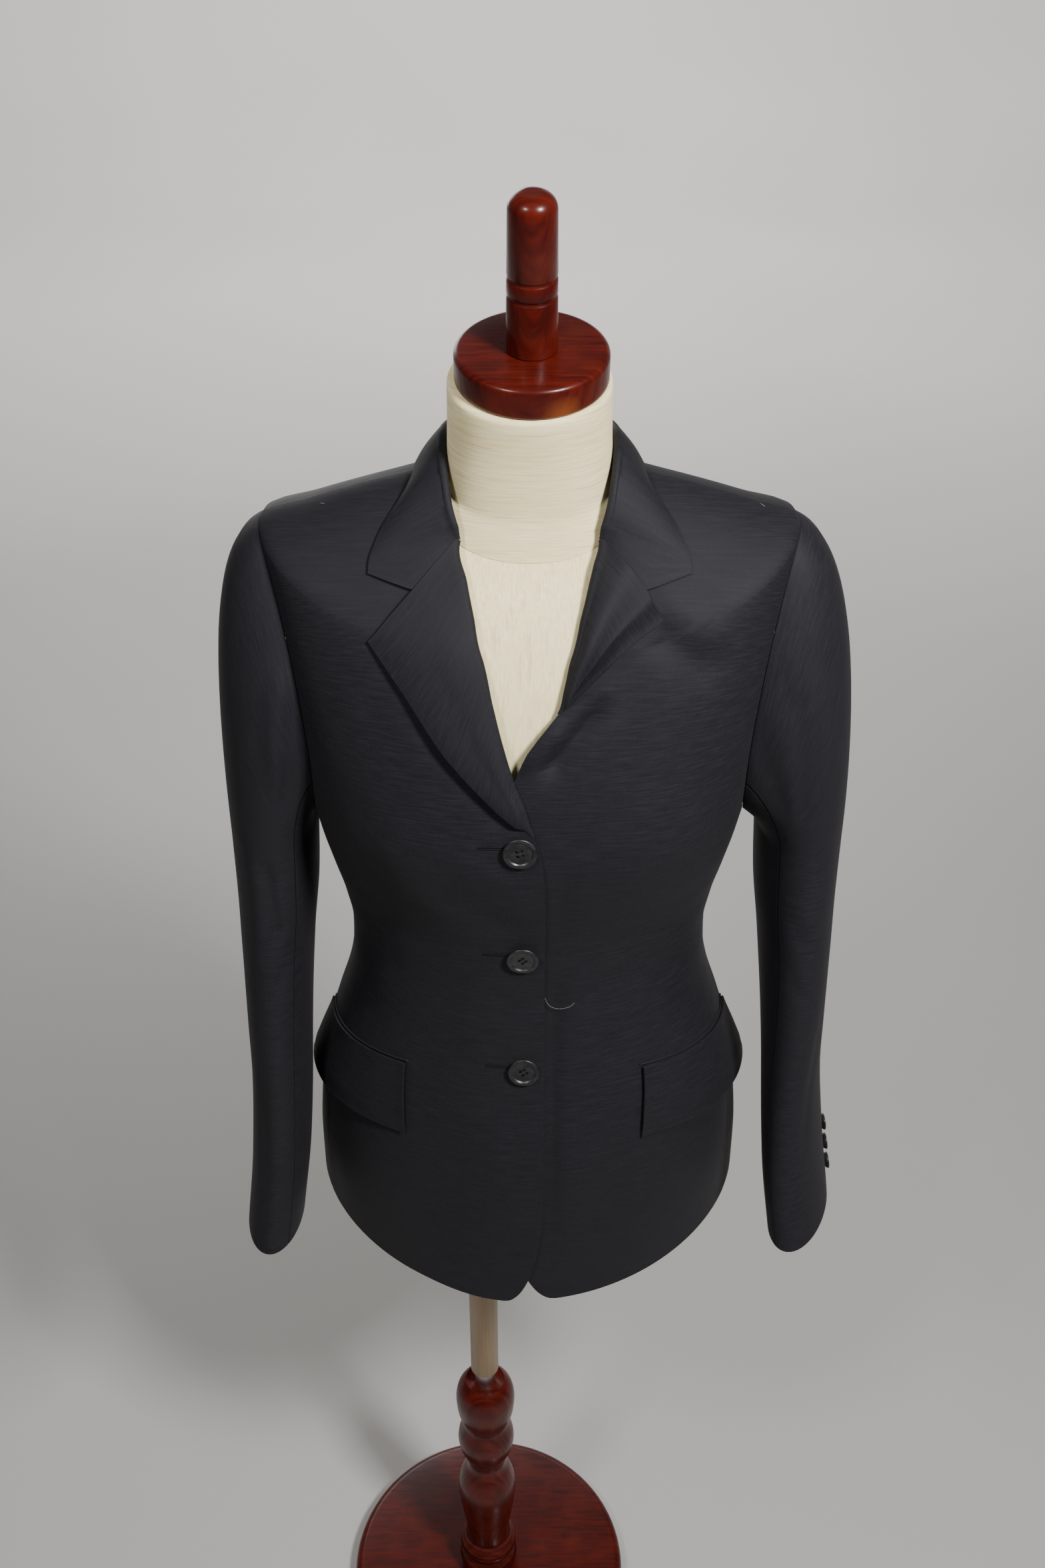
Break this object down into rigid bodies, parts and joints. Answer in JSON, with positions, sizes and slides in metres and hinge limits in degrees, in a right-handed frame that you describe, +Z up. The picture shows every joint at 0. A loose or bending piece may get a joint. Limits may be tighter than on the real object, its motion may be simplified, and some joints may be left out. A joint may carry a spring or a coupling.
{
  "type": "equestrian show coat on a limbless dress form with a stand",
  "caption": "Fitted equestrian show coat with notched lapels, long sleeves and slanted pocket flaps, on a linen dress form with a turned wooden stand.",
  "frame": {"origin": "on the floor, at the middle of the round base's underside, under the pole", "axes": "+Z up along the pole, -Y out of the coat's front, +X towards the wearer's left sleeve"},
  "size_m": [0.524, 0.314, 1.6098],
  "materials": {
    "wool": "fine charcoal wool cloth",
    "button": "satin black",
    "linen": "natural cream linen cover",
    "lacquered_wood": "dark mahogany lacquer",
    "pole_finish": "satin champagne",
    "steel": "satin"
  },
  "bodies": {
    "root": {"front_right": "wool", "side_right": "wool", "back_right": "wool", "lapel_right": "wool", "sleeve_upper_right": "wool", "sleeve_under_right": "wool", "pocket_flap_right": "wool", "cuff_button_right_1": "button", "cuff_button_right_2": "button", "cuff_button_right_3": "button", "front_left": "wool", "side_left": "wool", "back_left": "wool", "lapel_left": "wool", "sleeve_upper_left": "wool", "sleeve_under_left": "wool", "pocket_flap_left": "wool", "cuff_button_left_1": "button", "cuff_button_left_2": "button", "cuff_button_left_3": "button", "collar": "wool", "front_button_1": "button", "front_button_2": "button", "front_button_3": "button", "form_torso": "linen", "neck_cap": "lacquered_wood", "finial": "lacquered_wood", "newel_post": "lacquered_wood", "steel_tube": "steel", "pole": "pole_finish", "pole_flange": "steel", "base_disc": "lacquered_wood"}
  },
  "joints": []
}
